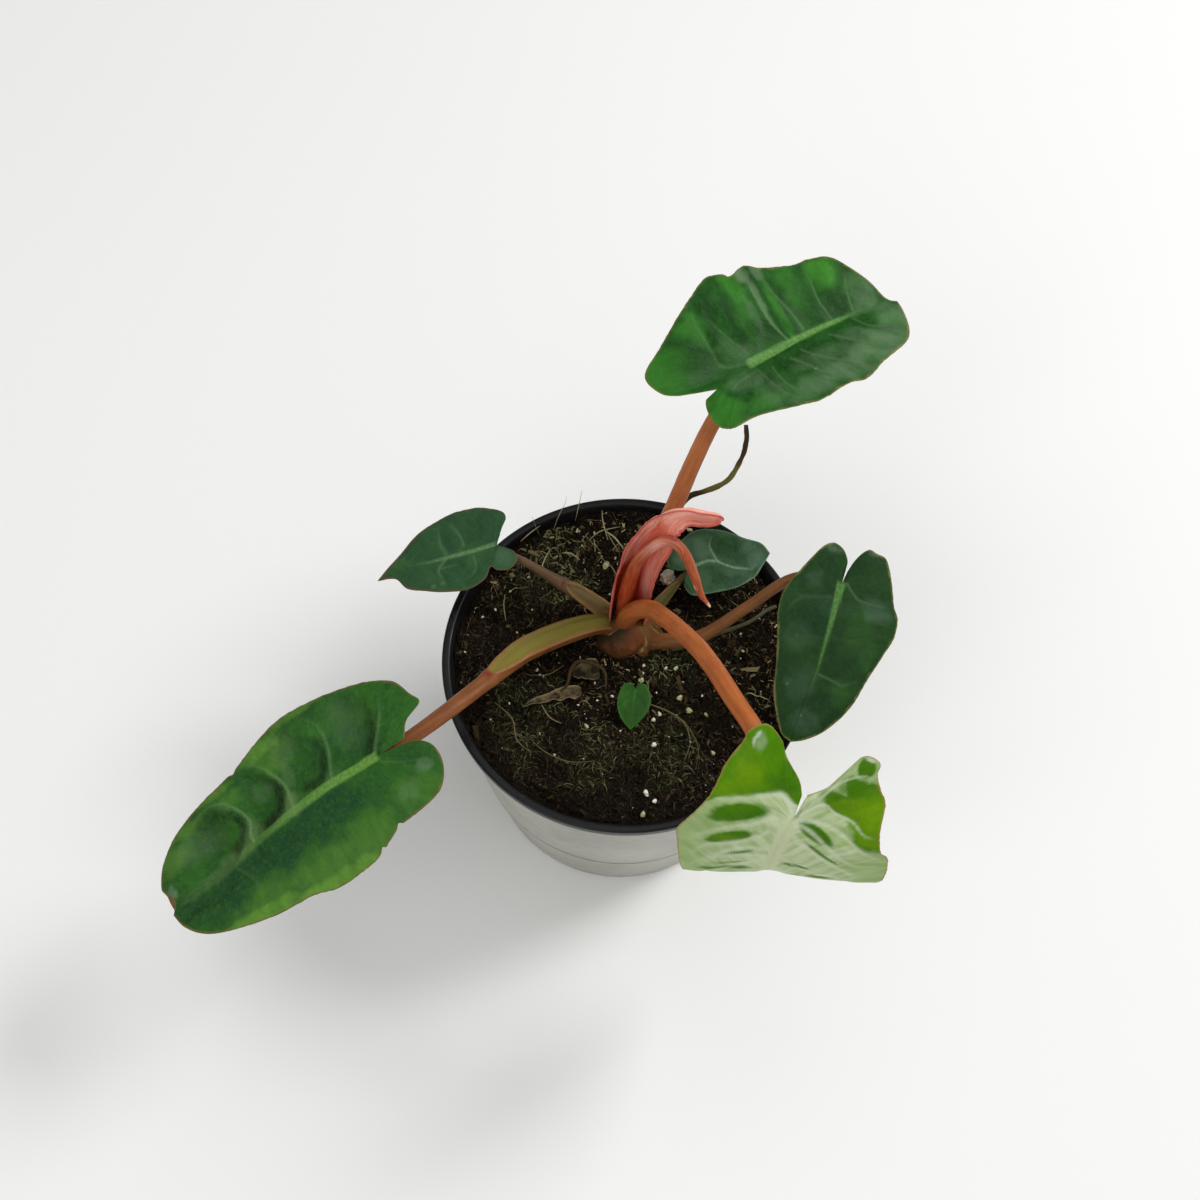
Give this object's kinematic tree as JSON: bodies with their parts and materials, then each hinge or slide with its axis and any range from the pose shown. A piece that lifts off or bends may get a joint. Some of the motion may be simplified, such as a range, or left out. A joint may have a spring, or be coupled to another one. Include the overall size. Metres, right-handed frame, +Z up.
{
  "type": "potted philodendron billietiae",
  "caption": "Young philodendron in a round nursery pot: heart-shaped leaves on arching orange-brown stalks, a pink new-leaf sheath and potting mix.",
  "frame": {"origin": "centre of the pot's flat underside", "axes": "+Z up along the pot's axis; the plant's front faces -Y, +X is to its right"},
  "size_m": [0.2288, 0.2113, 0.1618],
  "materials": {
    "pot": "thin moulded plastic, light grey and smooth outside, black rolled flange and black inside",
    "soil": "dark brown fibrous potting mix, damp and matt, with bark, moss and fine roots",
    "crown": "red-brown papery sheath bases, satin",
    "leaf_mature": "dark green glossy leaf, pale ribs, fine brown margin",
    "leaf_new": "bright green new leaf with frosted whitish bands between its veins",
    "stalk": "orange-brown smooth stalks, olive where the sheath opens",
    "sheath": "coral pink sheath, thin and satin",
    "dry": "dried brown stalk and dead leaf scraps, matt",
    "root": "thin grey-green root, matt",
    "perlite": "white porous lump, matt"
  },
  "bodies": {
    "root": {"pot": "pot", "soil": "soil", "crown": "crown", "leaf_left": "leaf_mature", "leaf_back": "leaf_mature", "leaf_right": "leaf_mature", "leaf_upper_left": "leaf_mature", "leaf_rear_low": "leaf_mature", "seedling_leaf": "leaf_mature", "leaf_front": "leaf_new", "petiole_front": "stalk", "petiole_left": "stalk", "petiole_back": "stalk", "petiole_right": "stalk", "petiole_upper_left": "stalk", "petiole_rear_low": "stalk", "seedling_stalk": "stalk", "petiole_dried": "dry", "aerial_root": "root", "pink_sheath": "sheath", "coral_spike": "sheath", "leaf_scrap_pointed": "dry", "leaf_scrap_curled": "dry", "perlite": "perlite"}
  },
  "joints": []
}
